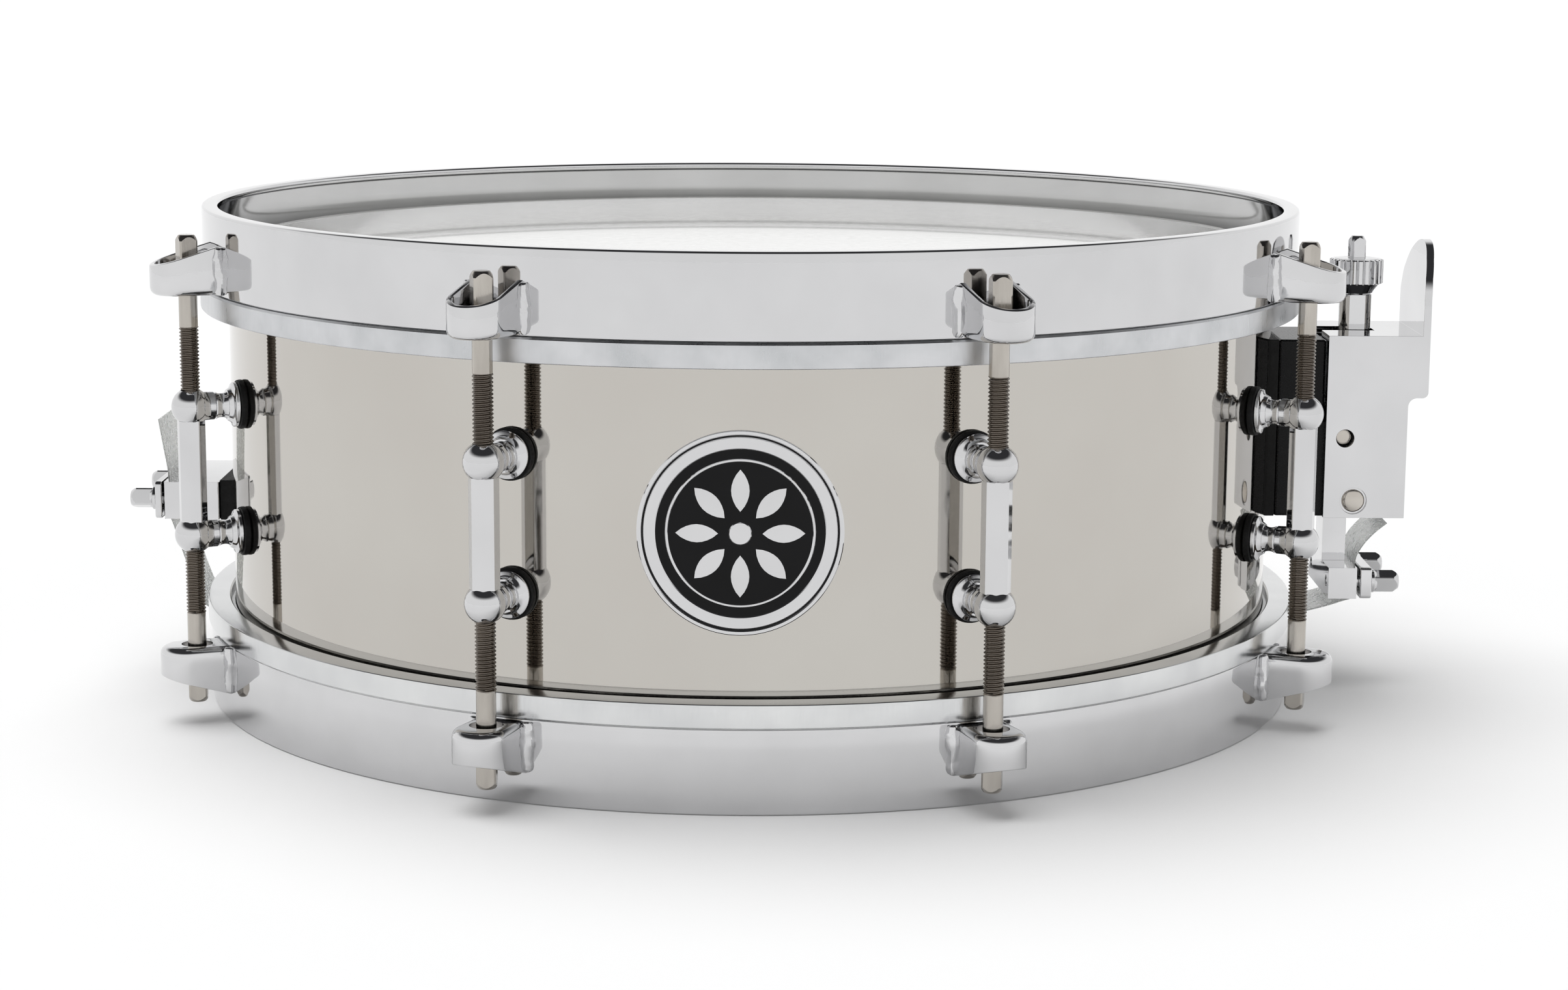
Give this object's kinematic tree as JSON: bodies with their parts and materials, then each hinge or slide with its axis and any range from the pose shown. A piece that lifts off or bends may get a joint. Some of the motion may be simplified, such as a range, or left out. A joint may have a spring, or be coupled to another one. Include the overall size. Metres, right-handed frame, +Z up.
{
  "type": "snare drum",
  "caption": "Steel-shell snare drum with ball-post lugs, claw-cup hoops, tension rods, a lever strainer with an adjuster knob, and coiled snares under the lower head.",
  "frame": {"origin": "on the drum's axis, in the plane of the snare-side hoop's outer edge, on which it stands", "axes": "+Z up along the axis from the snare side to the batter side, +X towards the strainer, +Y towards the vent"},
  "size_m": [0.4461, 0.3838, 0.1664],
  "materials": {
    "stainless_shell": "mirror polish",
    "chrome_plate": "mirror",
    "nickel_steel": "satin nickel",
    "zinc_steel": "bright zinc",
    "spring_steel": "drawn wire",
    "brushed_aluminium": "brushed",
    "black_rubber": "matte",
    "black_cast": "satin black",
    "badge_enamel": "black enamel and polished ring",
    "coated_film": "thin white coating",
    "clear_film": "clear gloss",
    "strap_film": "translucent",
    "brass_plate": "satin"
  },
  "bodies": {
    "drum": {"shell": "stainless_shell", "vent_eyelet": "chrome_plate", "badge": "badge_enamel", "batter_head": "coated_film", "snare_side_head": "clear_film", "batter_flesh_hoop": "brushed_aluminium", "snare_side_flesh_hoop": "brushed_aluminium", "batter_hoop": "chrome_plate", "snare_side_hoop": "chrome_plate", "batter_hoop_cups": "chrome_plate", "snare_side_hoop_cups": "chrome_plate", "batter_rod_washers": "nickel_steel", "snare_rod_washers": "nickel_steel", "lug_ball_posts": "chrome_plate", "lug_tubes": "chrome_plate", "lug_gaskets": "black_rubber", "lug_screws": "zinc_steel", "lug_screw_washers": "zinc_steel", "strainer_base": "black_cast", "strainer_gasket": "black_rubber", "strainer_mounting_screws": "zinc_steel", "strainer_guide_pin": "nickel_steel", "butt_block": "chrome_plate", "butt_gasket": "black_rubber", "butt_mounting_screws": "zinc_steel", "butt_clamp_plate": "chrome_plate", "butt_clamp_screws": "nickel_steel", "butt_strap": "strap_film", "snare_plate_strainer_end": "brass_plate", "snare_plate_butt_end": "brass_plate", "snare_wires": "spring_steel"},
    "batter_rod_1": {"batter_rod_1": "nickel_steel"},
    "batter_rod_2": {"batter_rod_2": "nickel_steel"},
    "batter_rod_3": {"batter_rod_3": "nickel_steel"},
    "batter_rod_4": {"batter_rod_4": "nickel_steel"},
    "batter_rod_5": {"batter_rod_5": "nickel_steel"},
    "batter_rod_6": {"batter_rod_6": "nickel_steel"},
    "batter_rod_7": {"batter_rod_7": "nickel_steel"},
    "batter_rod_8": {"batter_rod_8": "nickel_steel"},
    "snare_rod_1": {"snare_rod_1": "nickel_steel"},
    "snare_rod_2": {"snare_rod_2": "nickel_steel"},
    "snare_rod_3": {"snare_rod_3": "nickel_steel"},
    "snare_rod_4": {"snare_rod_4": "nickel_steel"},
    "snare_rod_5": {"snare_rod_5": "nickel_steel"},
    "snare_rod_6": {"snare_rod_6": "nickel_steel"},
    "snare_rod_7": {"snare_rod_7": "nickel_steel"},
    "snare_rod_8": {"snare_rod_8": "nickel_steel"},
    "throw_lever": {"strainer_lever": "chrome_plate", "strainer_pivot_pin": "nickel_steel", "strainer_cams": "zinc_steel"},
    "carriage": {"strainer_carriage": "zinc_steel", "adjuster_collar": "nickel_steel"},
    "adjuster": {"adjuster_knob": "nickel_steel"},
    "clamp": {"clamp_post": "chrome_plate", "snare_clamp_plate": "chrome_plate", "snare_clamp_screws": "nickel_steel", "strainer_strap": "strap_film"}
  },
  "joints": [
    {"name": "batter_rod_1_turn", "type": "hinge", "parent": "drum", "child": "batter_rod_1", "pos_m": [0.18016, 0.07462, 0.1432], "axis": [0, 0, 1], "range_deg": [-180, 180]},
    {"name": "batter_rod_2_turn", "type": "hinge", "parent": "drum", "child": "batter_rod_2", "pos_m": [0.07462, 0.18016, 0.1432], "axis": [0, 0, 1], "range_deg": [-180, 180]},
    {"name": "batter_rod_3_turn", "type": "hinge", "parent": "drum", "child": "batter_rod_3", "pos_m": [-0.07462, 0.18016, 0.1432], "axis": [0, 0, 1], "range_deg": [-180, 180]},
    {"name": "batter_rod_4_turn", "type": "hinge", "parent": "drum", "child": "batter_rod_4", "pos_m": [-0.18016, 0.07462, 0.1432], "axis": [0, 0, 1], "range_deg": [-180, 180]},
    {"name": "batter_rod_5_turn", "type": "hinge", "parent": "drum", "child": "batter_rod_5", "pos_m": [-0.18016, -0.07462, 0.1432], "axis": [0, 0, 1], "range_deg": [-180, 180]},
    {"name": "batter_rod_6_turn", "type": "hinge", "parent": "drum", "child": "batter_rod_6", "pos_m": [-0.07462, -0.18016, 0.1432], "axis": [0, 0, 1], "range_deg": [-180, 180]},
    {"name": "batter_rod_7_turn", "type": "hinge", "parent": "drum", "child": "batter_rod_7", "pos_m": [0.07462, -0.18016, 0.1432], "axis": [0, 0, 1], "range_deg": [-180, 180]},
    {"name": "batter_rod_8_turn", "type": "hinge", "parent": "drum", "child": "batter_rod_8", "pos_m": [0.18016, -0.07462, 0.1432], "axis": [0, 0, 1], "range_deg": [-180, 180]},
    {"name": "snare_rod_1_turn", "type": "hinge", "parent": "drum", "child": "snare_rod_1", "pos_m": [0.18016, 0.07462, 0.0232], "axis": [0, 0, 1], "range_deg": [-180, 180]},
    {"name": "snare_rod_2_turn", "type": "hinge", "parent": "drum", "child": "snare_rod_2", "pos_m": [0.07462, 0.18016, 0.0232], "axis": [0, 0, 1], "range_deg": [-180, 180]},
    {"name": "snare_rod_3_turn", "type": "hinge", "parent": "drum", "child": "snare_rod_3", "pos_m": [-0.07462, 0.18016, 0.0232], "axis": [0, 0, 1], "range_deg": [-180, 180]},
    {"name": "snare_rod_4_turn", "type": "hinge", "parent": "drum", "child": "snare_rod_4", "pos_m": [-0.18016, 0.07462, 0.0232], "axis": [0, 0, 1], "range_deg": [-180, 180]},
    {"name": "snare_rod_5_turn", "type": "hinge", "parent": "drum", "child": "snare_rod_5", "pos_m": [-0.18016, -0.07462, 0.0232], "axis": [0, 0, 1], "range_deg": [-180, 180]},
    {"name": "snare_rod_6_turn", "type": "hinge", "parent": "drum", "child": "snare_rod_6", "pos_m": [-0.07462, -0.18016, 0.0232], "axis": [0, 0, 1], "range_deg": [-180, 180]},
    {"name": "snare_rod_7_turn", "type": "hinge", "parent": "drum", "child": "snare_rod_7", "pos_m": [0.07462, -0.18016, 0.0232], "axis": [0, 0, 1], "range_deg": [-180, 180]},
    {"name": "snare_rod_8_turn", "type": "hinge", "parent": "drum", "child": "snare_rod_8", "pos_m": [0.18016, -0.07462, 0.0232], "axis": [0, 0, 1], "range_deg": [-180, 180]},
    {"name": "lever_throw", "type": "hinge", "parent": "drum", "child": "throw_lever", "pos_m": [0.2065, 0, 0.0664], "axis": [0, 1, 0], "range_deg": [0, 90]},
    {"name": "carriage_drop", "type": "slide", "parent": "drum", "child": "carriage", "axis": [0, 0, -1], "range_m": [0, 0.006], "deforming": ["strainer_strap"]},
    {"name": "knob_turn", "type": "hinge", "parent": "carriage", "child": "adjuster", "pos_m": [0.2085, 0, 0.1404], "axis": [0, 0, 1], "range_deg": [-900, 900]},
    {"name": "clamp_adjust", "type": "slide", "parent": "carriage", "child": "clamp", "axis": [0, 0, 1], "range_m": [-0.0025, 0.0025]}
  ],
  "couplings": [
    {"joint": "carriage_drop", "follows": "lever_throw", "m_per_rad": 0.0038197},
    {"joint": "knob_turn", "follows": "clamp_adjust", "rad_per_m": 6283}
  ]
}
